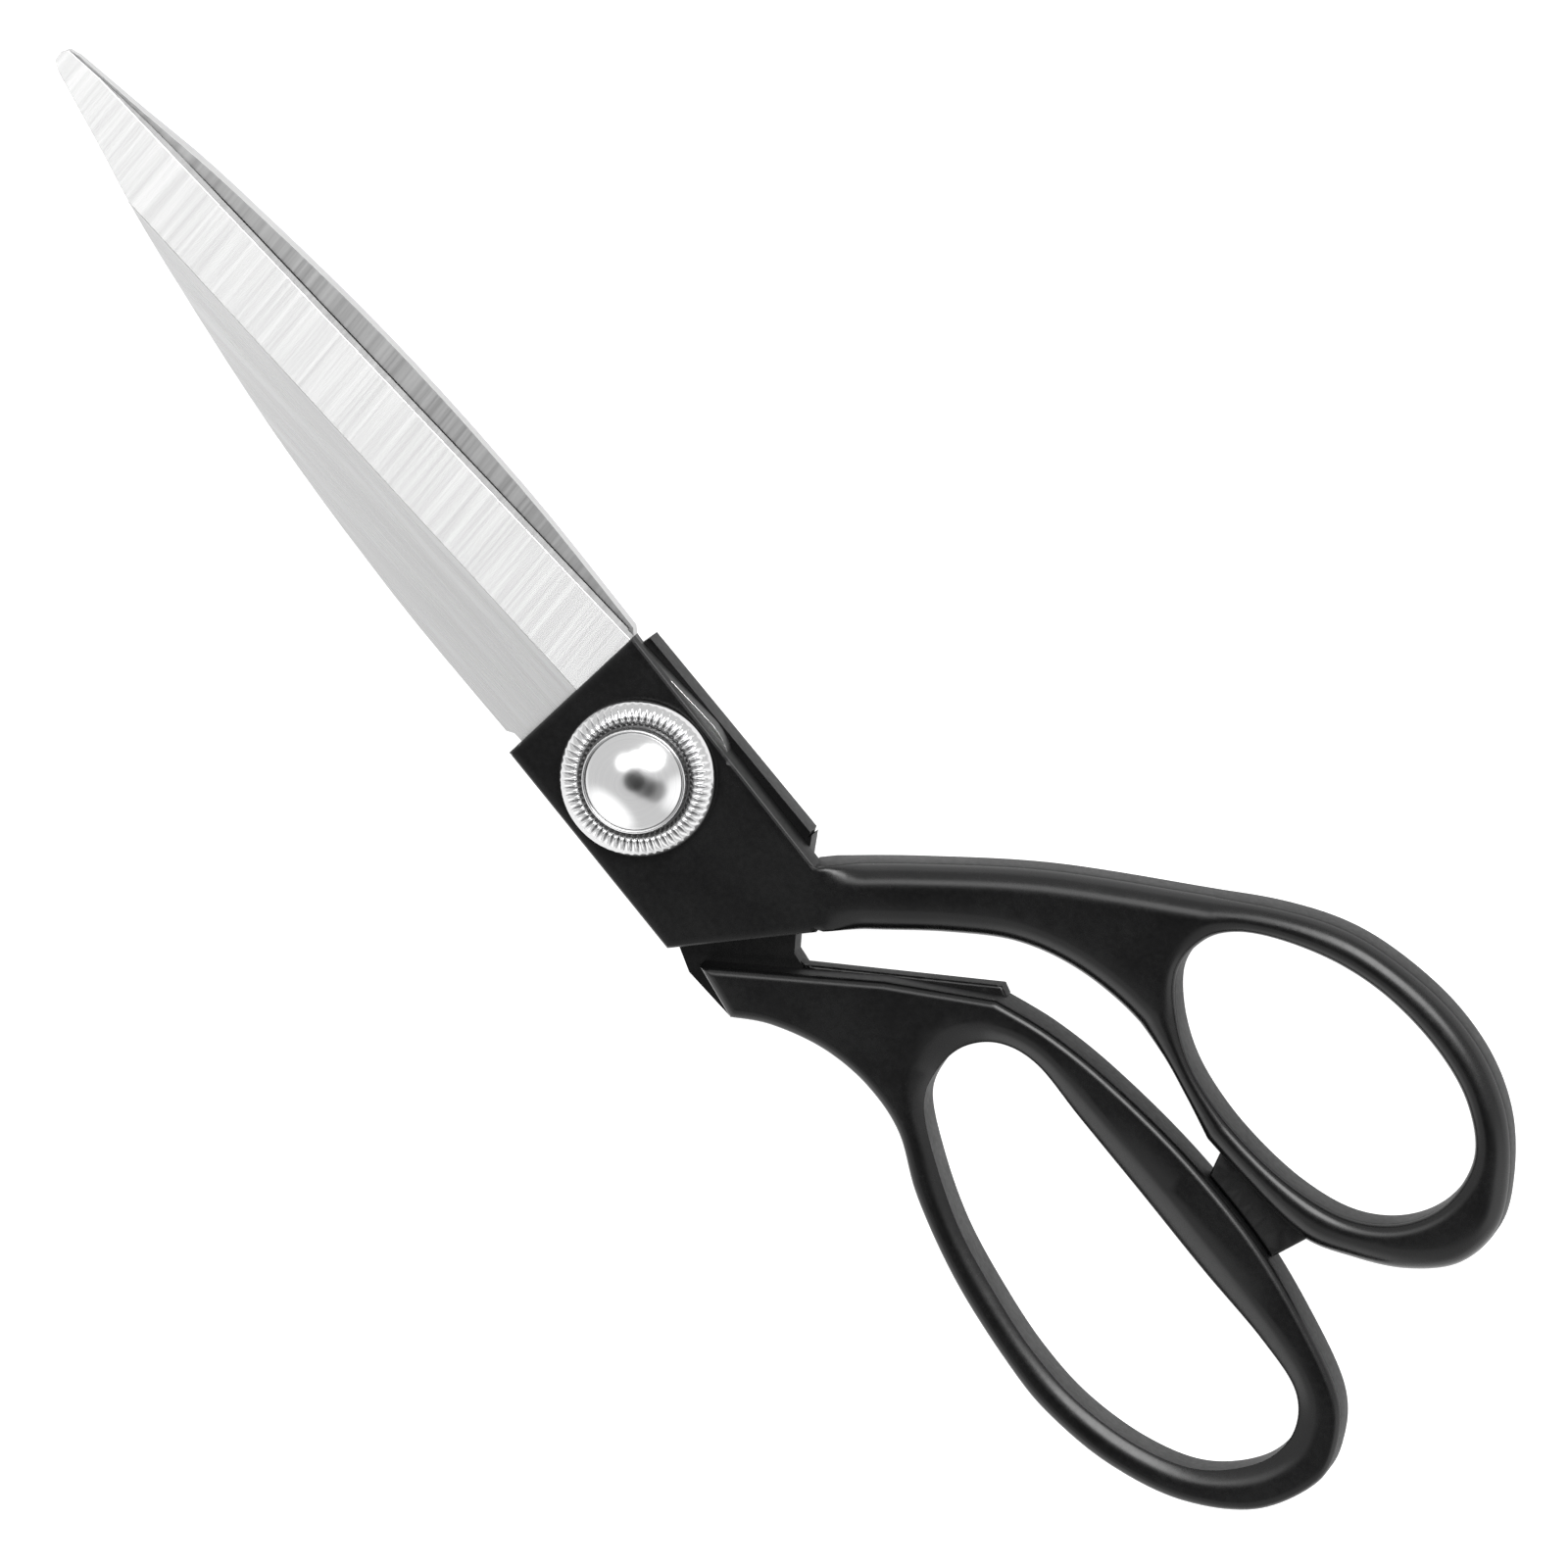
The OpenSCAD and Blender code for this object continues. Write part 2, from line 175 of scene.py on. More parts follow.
def curve(points, closed=False, steps=10):
    """Smooth curve through the points, the same blend as in the CAD source."""
    p = [np.array(q, float) for q in points]
    n = len(p)
    at = (lambda i: p[i % n]) if closed else (lambda i: p[max(0, min(n - 1, i))])
    out = []
    for i in range(n if closed else n - 1):
        a, b, c, d = at(i - 1), at(i), at(i + 1), at(i + 2)
        for k in range(steps):
            t = k / steps
            out.append(0.5 * (2 * b + (c - a) * t + (2 * a - 5 * b + 4 * c - d) * t * t
                              + (3 * b - a - 3 * c + d) * t ** 3))
    if not closed:
        out.append(p[-1])
    return np.array(out)


def spaced(points, spacing):
    """The closed outline with its long edges cut into steps no longer than the spacing."""
    out = []
    for a, b in zip(points, np.roll(points, -1, axis=0)):
        count = max(1, math.ceil(np.linalg.norm(b - a) / spacing))
        out += [a + (b - a) * k / count for k in range(count)]
    return np.array(out)


def inset(points, distance):
    """The closed anticlockwise outline moved inwards, or outwards by a negative distance."""
    edge = np.roll(points, -1, axis=0) - points
    normal = np.stack([-edge[:, 1], edge[:, 0]], 1) / np.linalg.norm(edge, axis=1)[:, None]
    before = np.roll(normal, 1, axis=0)
    return points + distance * (before + normal) / (1 + (before * normal).sum(1))[:, None]


def inside(points, outline):
    """Which of the points lie inside the closed outline."""
    x, y = points[:, 0:1], points[:, 1:2]
    ax, ay = outline[:, 0], outline[:, 1]
    bx, by = np.roll(ax, -1), np.roll(ay, -1)
    rises = (ay > y) != (by > y)
    with np.errstate(divide="ignore", invalid="ignore"):
        crossing = x < (bx - ax) * (y - ay) / (by - ay) + ax
    return (rises & crossing).sum(1) % 2 == 1


def distance(points, outline):
    """Distance from each point to the closed outline."""
    a = outline
    ab = np.roll(a, -1, axis=0) - a
    best = np.empty(len(points))
    length2 = (ab ** 2).sum(1)
    for start in range(0, len(points), CHUNK):
        p = points[start:start + CHUNK]
        ap = p[:, None] - a[None]
        t = np.clip((ap * ab).sum(2) / length2, 0, 1)
        gap = np.linalg.norm(ap - t[..., None] * ab, axis=2)
        best[start:start + CHUNK] = gap.min(1)
    return best


def triangulated(points, edges):
    """Delaunay triangles over the points that keep the given edges."""
    made = delaunay_2d_cdt([Vector(p) for p in points], edges, [], 0, 1e-6, False)
    return np.array([tuple(v) for v in made[0]]), np.array(made[2])


def loop_edges(count, start):
    """Edges around a closed outline whose points are numbered from the start."""
    return [(start + i, start + (i + 1) % count) for i in range(count)]


def merged(outlines):
    """Outer boundary of the overlapping closed outlines."""
    points = np.concatenate(outlines)
    edges, start = [], 0
    for outline in outlines:
        edges += loop_edges(len(outline), start)
        start += len(outline)
    verts, tris = triangulated(points, edges)
    centre = verts[tris].mean(1)
    tris = tris[np.any([inside(centre, o) for o in outlines], axis=0)]
    following = {a: b for a, b in border(tris)}
    first = a = int(np.argmin(verts[:, 0]))
    ring = []
    while True:
        ring.append(verts[a])
        a = following[a]
        if a == first:
            return np.array(ring)


def border(tris):
    """Directed edges that belong to one triangle only."""
    directed = {(int(t[i]), int(t[(i + 1) % 3])) for t in tris for i in range(3)}
    return [(a, b) for a, b in directed if (b, a) not in directed]


# ---- Solids between a top and a bottom surface -------------------------------------------------

class Builder:
    """Collects closed solids, in millimetres, into one mesh."""

    def __init__(self):
        self.verts, self.faces = [], []

    def add(self, verts, faces, matrix=None):
        start = len(self.verts)
        for v in verts:
            v = Vector(v)
            self.verts.append(matrix @ v if matrix is not None else v)
        self.faces += [[start + i for i in face] for face in faces]

    def object(self, name, sharp_angle=32):
        mesh = bpy.data.meshes.new(name)
        mesh.from_pydata([v * MM for v in self.verts], [], self.faces)
        mesh.validate()
        mesh.shade_smooth()
        mesh.set_sharp_from_angle(angle=math.radians(sharp_angle))
        made = bpy.data.objects.new(name, mesh)
        bpy.context.scene.collection.objects.link(made)
        return made


def round_steps(width, count=7):
    """Distances from an edge that are evenly spread around its rounding."""
    return [width * (1 - math.cos(math.pi / 2 * k / count)) for k in range(1, count + 1)]


def rounded(d, width, depth, power=2.0):
    """How far a rounded edge has dropped at a distance from the edge."""
    u = np.clip(1 - d / np.maximum(width, 1e-6), 0, 1)
    return depth * (1 - (1 - u ** power) ** (1 / power))


def plate(builder, outer, holes, top, bottom, widths, pocket=None, pocket_z=0, matrix=None,
          spacing=0.8):
    """Adds a closed solid inside the outer outline and outside the holes.

    top and bottom take (points, distance to the outer edge, distance to the holes) and give z.
    widths are the roundings' widths at the outer edge and at the holes, where the mesh is finer.
    pocket is an outline inside which the bottom rises to pocket_z.
    """
    outer = spaced(np.array(outer, float), spacing)
    holes = [spaced(np.array(h, float), spacing) for h in holes]
    fixed = [outer] + holes
    edges, start = [], 0
    if pocket is not None:
        fixed.append(spaced(np.array(pocket, float), spacing))
    for outline in fixed:
        edges += loop_edges(len(outline), start)
        start += len(outline)
    free = []

    def keep(points, gap):
        ok = inside(points, outer) & (distance(points, outer) > gap[0])
        for hole in holes:
            ok &= ~inside(points, hole) & (distance(points, hole) > gap[1])
        if pocket is not None:
            ok &= distance(points, fixed[-1]) > POCKET_CLEARANCE
        free.append(points[ok])

    # Rows that follow the roundings, then an even grid between them
    for d in round_steps(widths[0]):
        keep(inset(outer, d), (d * OWN_EDGE, d * OTHER_HOLE))
    for hole in holes:
        for d in round_steps(widths[1]):
            from_outer = widths[0] * JUST_INSIDE if widths[0] < NARROW else d * OTHER_OUTER
            keep(inset(hole, -d), (from_outer, d * OWN_EDGE))
    low, high = outer.min(0), outer.max(0)
    xs = np.arange(low[0], high[0], GRID_STEP)
    ys = np.arange(low[1], high[1], ROW_STEP)
    grid = np.array([(x + GRID_STEP / 2 * (j % 2), y) for j, y in enumerate(ys) for x in xs])
    keep(grid, (widths[0] + GRID_CLEARANCE, widths[1] + GRID_CLEARANCE))
    free = np.concatenate(free)
    if len(free):
        free = free[np.unique(np.round(free / MERGE_STEP), axis=0, return_index=True)[1]]
    verts, tris = triangulated(np.concatenate(fixed + [free]), edges)
    centre = verts[tris].mean(1)
    ok = inside(centre, outer)
    for hole in holes:
        ok &= ~inside(centre, hole)
    tris, centre = tris[ok], centre[ok]
    sunk = inside(centre, fixed[-1]) if pocket is not None else np.zeros(len(tris), bool)

    d_out = distance(verts, outer)
    d_in = np.full(len(verts), FAR)
    for hole in holes:
        d_in = np.minimum(d_in, distance(verts, hole))
    n = len(verts)
    layers = [top(verts, d_out, d_in), bottom(verts, d_out, d_in), np.full(n, float(pocket_z))]
    solid = [(x, y, z) for layer in layers for (x, y), z in zip(verts, layer)]
    faces = [list(map(int, t)) for t in tris]
    faces += [[int(i) + n * (2 if s else 1) for i in t[::-1]] for t, s in zip(tris, sunk)]
    for group, base in ((tris[~sunk], 1), (tris[sunk], 2)):
        for a, b in border(group):
            faces.append([a, a + n * base, b + n * base, b])
    if sunk.any():
        # Between the pocket and its surroundings both groups made a wall up to the top. Those two
        # walls become one, from the pocket's rim to its floor.
        shared = {(b, a) for a, b in border(tris[sunk])} & set(border(tris[~sunk]))
        faces = [f for f in faces if not (len(f) == 4 and ((f[0], f[3]) in shared
                                                          or (f[3], f[0]) in shared))]
        faces += [[a + 2 * n, a + n, b + n, b + 2 * n] for a, b in shared]
    used = sorted({i for f in faces for i in f})
    renumber = {old: new for new, old in enumerate(used)}
    builder.add([solid[i] for i in used], [[renumber[i] for i in f] for f in faces], matrix)


def flat(z):
    """A level surface."""
    return lambda p, d_out, d_in: np.full(len(p), float(z))


def eased(z, sign, width):
    """A level surface with rounded edges. sign is 1 for a top and -1 for a bottom."""
    return lambda p, d_out, d_in: z - sign * (rounded(d_out, width, width)
                                              + rounded(d_in, width, width))


def grip_half(x):
    """Half the handle's thickness at a distance along it."""
    taper = (GRIP_T - GRIP_END_T) / 2 / (GRIP_ROOT_X - GRIP_END_X)
    return GRIP_T / 2 + taper * (x - GRIP_ROOT_X)


def smooth_step(x, start, end):
    """0 up to the start, 1 from the end on, and smooth between them."""
    t = np.clip((x - start) / (end - start), 0, 1)
    return t * t * (3 - 2 * t)


def grip_face(sign, outer, inner, level=None):
    """Top (1) or bottom (-1) face of a handle, with an edge's four values for each side.

    A power of 1 is a chamfer and 2 is round. level may change the face's height.
    """
    def face(p, d_out, d_in):
        width = d_out + d_in
        w_out = np.minimum(outer[0], outer[1] * width)
        w_in = np.minimum(inner[0], inner[1] * width)
        drop = (rounded(d_out, w_out, outer[2] * w_out / outer[0], outer[3])
                + rounded(d_in, w_in, inner[2] * w_in / inner[0], inner[3]))
        z = mid_z + sign * grip_half(p[:, 0])
        if level is not None:
            z = level(p, z)
        return z - sign * drop
    return face


def circle(radius, count=64, centre=(0, 0)):
    """Closed outline of a circle."""
    return np.array([(centre[0] + radius * math.cos(2 * math.pi * k / count),
                      centre[1] + radius * math.sin(2 * math.pi * k / count))
                     for k in range(count)])


def in_lower_half():
    """Placing of the lower half: the upper one turned over, at the angle of the closed blades."""
    return (Matrix.Translation((0, 0, lower_z)) @ Matrix.Rotation(-CROSS_ANGLE, 4, "Z")
            @ Matrix.Rotation(math.pi, 4, "X"))


def tang_pocket():
    """Outline of the tang's space, open at the casting's end and along its lower side."""
    arc = [(TANG_X + TANG_R * math.cos(a), TANG_Y + TANG_R * math.sin(a))
           for a in np.linspace(math.pi / 2, math.pi * 1.5, 33)]
    return np.array([(POCKET_END_X, TANG_R + TANG_Y)] + arc
                    + [(TANG_X, POCKET_SIDE_Y), (POCKET_END_X, POCKET_SIDE_Y)])


def add_keys(builder, z, matrix=None):
    """The cast keys that pass through a tang."""
    for y in (-KEY_Y, KEY_Y):
        plate(builder, circle(KEY_R, 24, (KEY_X, y)), [], flat(z + TANG_T), flat(z + KEY_GAP),
              (0.1, 0.1), matrix=matrix, spacing=3)


thumb_outline = np.concatenate([[(-29.1, -2.3)], curve(THUMB_ARM), curve(THUMB_RING),
                                [(-24.2, -8.2)]])
thumb_opening = curve(THUMB_OPENING, closed=True)
finger_outline = np.concatenate([[(-42, -4.8), (-23.7, 12.2)], curve(FINGER_LOOP)])
finger_opening = curve(FINGER_OPENING, closed=True)


def thumb_level(p, z):
    """The block's level runs on smoothly into the arm's."""
    share = smooth_step(p[:, 0], *ARM_RISE)
    return z + (top_z - z) * share


def thumb_top(p, d_out, d_in):
    """Wide rounding outside the arm and ring, tight at the block."""
    grip = grip_face(1, THUMB_TOP_OUTER, THUMB_TOP_INNER, thumb_level)(p, d_out, d_in)
    block = top_z - rounded(d_out, THUMB_BLOCK_EDGE, THUMB_BLOCK_EDGE)
    share = smooth_step(p[:, 0] + p[:, 1], *ARM_BLEND)
    return grip + (block - grip) * share


def make_thumb_handle():
    """Upper casting: block and arm above the contact face, arm below it, keys and stop pad."""
    build = Builder()
    shell = merged([np.array(SHANK, float), thumb_outline])
    plate(build, shell, [thumb_opening, circle(BUSH_D / 2)], thumb_top, flat(upper_z),
          (THUMB_TOP_OUTER[0], THUMB_TOP_INNER[0]),
          pocket=tang_pocket(), pocket_z=upper_z + TANG_T)
    plate(build, thumb_outline, [thumb_opening], flat(upper_z),
          grip_face(-1, THUMB_UNDER_OUTER, THUMB_UNDER_INNER),
          (THUMB_UNDER_OUTER[0], THUMB_UNDER_INNER[0]))
    add_keys(build, upper_z)
    finger_edge = inset(finger_outline, -STOP_GAP)
    pad_side = [q for q in finger_edge if PAD_X[0] < q[0] < PAD_X[1] and q[1] < PAD_MAX_Y]
    plate(build, [PAD[0]] + pad_side[::-1] + [PAD[1]], [], eased(mid_z + PAD_T / 2, 1, PAD_EDGE),
          eased(mid_z - PAD_T / 2, -1, PAD_EDGE), (PAD_EDGE, PAD_EDGE))
    return build.object("thumb_casting")


def make_finger_handle():
    """Lower casting: block and neck turned over, keys, ledge and finger loop."""
    build = Builder()
    to_local = in_lower_half().inverted()
    half = NECK_SIDE / 2
    square = np.array([tuple((to_local @ Vector((x, y, 0))).xy)
                       for x, y in ((-half, -half), (-half, half), (half, half), (half, -half))])
    neck = np.array([tuple((to_local @ Vector((x, y, 0))).xy) for x, y in NECK])[::-1]
    block = merged([np.array(SHANK, float), neck])
    plate(build, block, [square], eased(shank_t, 1, FINGER_BLOCK_EDGE), flat(0),
          (FINGER_BLOCK_EDGE, FINGER_BLOCK_EDGE / 2),
          pocket=tang_pocket(), pocket_z=TANG_T, matrix=in_lower_half())
    add_keys(build, 0, in_lower_half())
    plate(build, LEDGE, [], eased(lower_z, 1, LEDGE_EDGE), flat(mid_z - LEDGE_DEPTH),
          (LEDGE_EDGE, LEDGE_EDGE))
    plate(build, finger_outline, [finger_opening],
          grip_face(1, FINGER_TOP_OUTER, FINGER_TOP_INNER),
          grip_face(-1, FINGER_UNDER_OUTER, FINGER_UNDER_INNER), FINGER_FINE)
    return build.object("finger_casting")


# ---- Turned pieces -----------------------------------------------------------------------------

def revolved(name, profile, steps, sharp_angle, height=None):
    """Mesh turned about the Z axis from (radius, z) points. height may move z by (r, angle)."""
    verts, faces = [], []
    for k in range(steps):
        angle = 2 * math.pi * k / steps
        for r, z in profile:
            dz = height(r, angle) if height else 0
            verts.append((r * math.cos(angle), r * math.sin(angle), z + dz))
    n = len(profile)
    for k in range(steps):
        a, b = k * n, (k + 1) % steps * n
        faces += [[a + i, b + i, b + (i + 1) % n, a + (i + 1) % n] for i in range(n)]
    build = Builder()
    build.add(verts, faces)
    return build.object(name, sharp_angle)


NUT_R = 10.5
NUT_CORNER = 0.3
NUT_SIDE_H = 0.85
NUT_RECESS_R = 8
NUT_RECESS_H = 1.45
BORE_R = 3.05
CREST_R = NUT_R - 2.2
RING_STEPS = 14
RING_POWER = 0.8
DOME_R = 7
DOME_H = 3
DOME_RIM_R = 0.22
DOME_RIM_W = 0.45
DOME_HOLLOW_R = 3.5
DOME_HOLLOW_H = 1.2
AXIS_R = 0.02
SEAT_R = DOME_R + 0.3
SEAT_DEPTH = 0.9
SERRATIONS = 60
STEPS_PER_SERRATION = 10
GROOVE_DEPTH = 0.55
GROOVE_POWER = 0.7
GROOVE_START_R = SEAT_R + 0.25
GROOVE_START_W = 0.35
GROOVE_END_R = NUT_R - 0.2
GROOVE_END_W = 1.4
# Inside this radius the nut's faces take the painted shade of the dome's seat
SEAT_SHADE_R = DOME_R + 0.55
dome_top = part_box("dome_cap")[1].z / MM
dome_z = dome_top - DOME_H
crest_z = dome_z - 0.3
nut_rim_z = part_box("tension_nut")[0].z / MM


def arc_points(centre, radius, start, end, count):
    """Points of an arc between two angles in degrees."""
    return [(centre[0] + radius * math.cos(math.radians(start + (end - start) * k / count)),
             centre[1] + radius * math.sin(math.radians(start + (end - start) * k / count)))
            for k in range(count + 1)]


def make_nut():
    """Serrated nut: a rounded rim, a convex ring cut by grooves and a seat for the dome."""
    recess_z = nut_rim_z + NUT_RECESS_H
    profile = [(BORE_R, recess_z), (NUT_RECESS_R, recess_z), (NUT_RECESS_R + 0.4, nut_rim_z),
               (NUT_R - NUT_CORNER, nut_rim_z)]
    profile += arc_points((NUT_R - NUT_CORNER, nut_rim_z + NUT_CORNER), NUT_CORNER, -80, 0, 4)
    # The convex ring rises from the rim to its crest
    rim_top = nut_rim_z + NUT_SIDE_H
    profile += [(NUT_R, rim_top)]
    for k in range(1, RING_STEPS + 1):
        t = k / RING_STEPS
        rise = math.sin(math.pi / 2 * t) ** RING_POWER
        profile.append((NUT_R - (NUT_R - CREST_R) * t, rim_top + (crest_z - rim_top) * rise))
    # Inside the crest it falls to the dome's seat
    profile += [(CREST_R - 0.35, crest_z - 0.08), (CREST_R - 0.6, crest_z - 0.35),
                (SEAT_R, crest_z - SEAT_DEPTH), (SEAT_R - 0.15, crest_z - SEAT_DEPTH),
                (SEAT_R - 0.3, crest_z - 0.3), (BORE_R, crest_z - 0.3)]

    def groove(r, angle):
        """Depth of the grooves. It moves every point outside the seat, the underside's too."""
        if r <= SEAT_R + 0.2:
            return 0
        along = (np.clip((r - GROOVE_START_R) / GROOVE_START_W, 0, 1)
                 * np.clip((GROOVE_END_R - r) / GROOVE_END_W, 0, 1))
        across = abs(math.sin(SERRATIONS * angle / 2)) ** GROOVE_POWER
        return -GROOVE_DEPTH * along * (1 - across)

    return revolved("serrated_nut", profile, SERRATIONS * STEPS_PER_SERRATION, 50, groove)


def make_dome():
    """Polished cap over the bolt's end, with a thin rim."""
    base = crest_z - 0.25
    sphere_r = (DOME_R ** 2 + DOME_H ** 2) / 2 / DOME_H
    half = math.degrees(math.asin((DOME_R - DOME_RIM_W) / sphere_r))
    cap = arc_points((0, dome_top - sphere_r), sphere_r, 90 - half, 90, 40)
    rim_z = cap[0][1]
    profile = [(DOME_HOLLOW_R, base), (DOME_R - 0.1, base), (DOME_R, base + 0.1)]
    profile += arc_points((DOME_R - DOME_RIM_R, rim_z - 0.08), DOME_RIM_R, 0, 150, 8)
    profile += cap[:-1] + [(AXIS_R, dome_top)]
    hollow_z = dome_z + DOME_HOLLOW_H
    profile += [(AXIS_R, hollow_z), (DOME_HOLLOW_R, hollow_z)]
    return revolved("polished_dome", profile, 256, 60)


# ---- Materials ---------------------------------------------------------------------------------

def set_socket(tree, socket, value):
    """Links another node's output to the socket, or sets its constant."""
    if isinstance(value, bpy.types.NodeSocket):
        tree.links.new(value, socket)
    else:
        socket.default_value = value


def add_node(tree, kind, values=None, **settings):
    """New node with its settings, and its inputs by name or number."""
    made = tree.nodes.new(kind)
    for key, value in settings.items():
        setattr(made, key, value)
    for key, value in (values or {}).items():
        set_socket(tree, made.inputs[key], value)
    return made


# Noise scales, along each axis for the brush lines, and heights of the bumps in metres
FINE_LINES = (40, 2200, 40)
BROAD_LINES = (14, 700, 14)
LINE_DEPTH = 0.000004
RING_DEPTH = 0.000006
MOTTLING = 90
GRAIN = 1400
PEEL = 420
PEEL_DEPTH = 0.00004
SMUDGES = 260
PAPER_TONE = 3
# Where the painted shade towards a blade's base starts and ends, along X in metres
SHADE_START_X = 0.014
SHADE_END_X = 0.12


class Nodes:
    """Short calls for building a material's node tree."""

    def __init__(self, name):
        self.material = bpy.data.materials.new(name)
        self.material.use_nodes = True
        self.tree = self.material.node_tree
        self.shader = self.tree.nodes["Principled BSDF"]

    def node(self, kind, values=None, **settings):
        return add_node(self.tree, kind, values, **settings)

    def place(self):
        """Object coordinates in metres: the part's own frame."""
        return self.node("ShaderNodeTexCoord").outputs["Object"]

    def stretched(self, scale, turn=0.0):
        """Object coordinates scaled along each axis, turned about Z first."""
        turned = self.node("ShaderNodeMapping", {"Vector": self.place(),
                                                 "Rotation": (0, 0, turn)})
        return self.node("ShaderNodeMapping", {"Vector": turned.outputs[0],
                                               "Scale": scale}).outputs[0]

    def noise(self, vector, scale=1.0, detail=3.0, rough=0.55):
        """Noise, mostly between 0.3 and 0.7."""
        return self.node("ShaderNodeTexNoise", {
            "Vector": vector, "Scale": scale, "Detail": detail, "Roughness": rough,
        }).outputs["Fac"]

    def ramp(self, value, low, high, start=0.3, end=0.7):
        """low to high, as the value goes from start to end."""
        return self.node("ShaderNodeMapRange", {
            "Value": value, "From Min": start, "From Max": end, "To Min": low, "To Max": high,
        }).outputs[0]

    def grey(self, value, low, high, tint=(1, 1, 1)):
        """Tinted grey that follows a noise from low to high."""
        level = self.ramp(value, low, high)
        colour = self.node("ShaderNodeCombineColor", {
            "Red": self.scaled(level, tint[0]), "Green": self.scaled(level, tint[1]),
            "Blue": self.scaled(level, tint[2]),
        })
        return colour.outputs[0]

    def scaled(self, value, factor):
        return self.node("ShaderNodeMath", {0: value, 1: factor}, operation="MULTIPLY").outputs[0]

    def bump(self, height, distance, strength):
        return self.node("ShaderNodeBump", {
            "Height": height, "Distance": distance, "Strength": strength,
        }).outputs[0]

    def set(self, **values):
        """Sets the shader's inputs, with _ for a space, and gives back the material."""
        for key, value in values.items():
            set_socket(self.tree, self.shader.inputs[key.replace("_", " ")], value)
        return self.material


def satin_black(name, low, high, rough, specular):
    """Black paint over a casting: faint mottling and an orange-peel surface."""
    n = Nodes(name)
    soft = n.noise(n.place(), MOTTLING, 3)
    fine = n.noise(n.place(), GRAIN, 2)
    both = n.node("ShaderNodeMath", {0: soft, 1: fine}, operation="ADD").outputs[0]
    peel = n.bump(n.noise(n.place(), PEEL, 2), PEEL_DEPTH, 0.35)
    n.set(Base_Color=n.grey(soft, low, high, (1, 1, 1.03)),
          Roughness=n.ramp(both, rough[0], rough[1], 0.7, 1.3),
          Normal=peel)
    return n.set(Specular_IOR_Level=specular)


def ground_steel(name, low, high, direction, rough, bump, painted_shade_share=1.0):
    """Ground steel with brush lines that run at an angle from the X axis, in degrees.

    rough is the roughness's range, and painted_shade_share darkens the steel towards the casting, a
    painted shade. The base colours were tuned together with the studio's panels and flags: the edge,
    spine, inner, bevel and wall faces get lighter and darker copies of one steel, painted light and
    shade.
    """
    n = Nodes(name)
    turn = math.radians(-direction)
    lines = n.noise(n.stretched(FINE_LINES, turn), 1, 2, 0.6)
    broad = n.noise(n.stretched(BROAD_LINES, turn), 1, 2, 0.5)
    both = n.node("ShaderNodeMath", {0: lines, 1: broad}, operation="ADD").outputs[0]
    x = n.node("ShaderNodeSeparateXYZ", {0: n.place()}).outputs["X"]
    # Painted shade: the steel darkens towards the casting, from the given share at the blade's base
    # to its full colour further out
    shade_fall = n.ramp(x, painted_shade_share, 1.0, SHADE_START_X, SHADE_END_X)
    level = n.node("ShaderNodeMath", {0: n.ramp(both, low, high, 0.72, 1.28), 1: shade_fall},
                   operation="MULTIPLY").outputs[0]
    colour = n.node("ShaderNodeCombineColor", {"Red": level, "Green": level, "Blue": level})
    n.set(Base_Color=colour.outputs[0],
          Roughness=n.ramp(lines, rough[0], rough[1]),
          Normal=n.bump(lines, LINE_DEPTH, bump))
    return n.set(Metallic=1.0)


def turned_metal(name, tint, low, high, rough, ring_scale=9000, bump=0.4):
    """Metal with fine turned rings about the pivot axis."""
    n = Nodes(name)
    flat_place = n.node("ShaderNodeVectorMath", {0: n.place(), 1: (1, 1, 0)},
                        operation="MULTIPLY").outputs[0]
    radius = n.node("ShaderNodeVectorMath", {0: flat_place}, operation="LENGTH").outputs["Value"]
    rings = n.noise(n.node("ShaderNodeCombineXYZ", {
        "X": n.scaled(radius, ring_scale)}).outputs[0], 1, 3, 0.7)
    smudge = n.noise(n.place(), SMUDGES, 3)
    n.set(Base_Color=n.grey(rings, low, high, tint), Roughness=n.ramp(smudge, rough[0], rough[1]),
          Normal=n.bump(rings, RING_DEPTH, bump))
    return n.set(Metallic=1.0)


# ---- Pieces on their bodies --------------------------------------------------------------------

def finish_piece(piece, material, body, node):
    """Gives the piece its material and places it in the frame."""
    piece.data.materials.clear()
    piece.data.materials.append(material)
    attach(piece, body)
    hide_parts(node)


black = satin_black("satin_black_paint", 0.0022, 0.0038, (0.22, 0.3), 0.34)
wall_black = satin_black("cast_black_walls", 0.0022, 0.0038, (0.45, 0.55), 0.12)
polished = turned_metal("polished_steel", (1, 1, 1.005), 0.54, 0.6, (0.15, 0.2), 5000, 0.1)
nut_steel = turned_metal("nut_steel", (1, 1, 1.005), 0.5, 0.6, (0.12, 0.18), 5000, 0.15)
# Darker copy of the nut's steel: painted shade for the recessed seat around the dome
nut_seat_shade_steel = turned_metal("nut_seat_shade_steel", (1, 1, 1.005), 0.2, 0.28, (0.25, 0.35))
turned = turned_metal("turned_steel", (1, 1, 1.01), 0.62, 0.72, (0.24, 0.34))
bronze = turned_metal("plain_bronze", (1, 0.74, 0.42), 0.66, 0.76, (0.3, 0.42))
